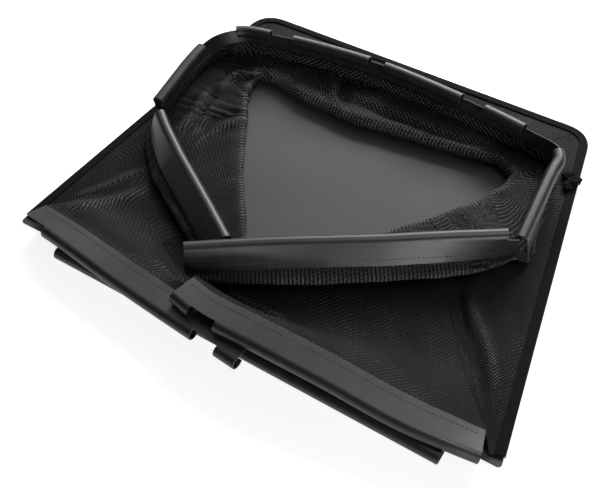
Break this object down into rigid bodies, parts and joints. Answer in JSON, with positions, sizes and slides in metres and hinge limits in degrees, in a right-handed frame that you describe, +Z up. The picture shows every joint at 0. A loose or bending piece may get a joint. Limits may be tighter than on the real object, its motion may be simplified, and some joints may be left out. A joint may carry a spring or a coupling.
{
  "type": "mower grass collection bag",
  "caption": "Soft mesh grass bag for a walk-behind mower, collapsed flat on its solid base sheet, with plastic clip rails round its top opening and its mouth.",
  "frame": {"origin": "middle of the footprint, on the surface that the bag lies on", "axes": "+X along the front (mouth) edge to the right, +Y towards the back, +Z up"},
  "size_m": [0.5902, 0.525, 0.0579],
  "materials": {
    "mesh_cloth": "woven polyester mesh",
    "coated_sheet": "smooth coated sheet",
    "rail_plastic": "satin extruded plastic",
    "binding_tape": "woven tape"
  },
  "bodies": {
    "root": {"base_sheet": "coated_sheet", "edge_binding": "binding_tape", "left_side_panel": "mesh_cloth", "back_wall_panel": "mesh_cloth", "right_side_panel": "mesh_cloth", "front_top_panel": "mesh_cloth", "rim_rail_left": "rail_plastic", "rim_rail_back": "rail_plastic", "rim_rail_front": "rail_plastic", "mouth_rail_upper_left": "rail_plastic", "mouth_rail_upper_right": "rail_plastic", "mouth_rail_lower": "rail_plastic"}
  },
  "joints": []
}
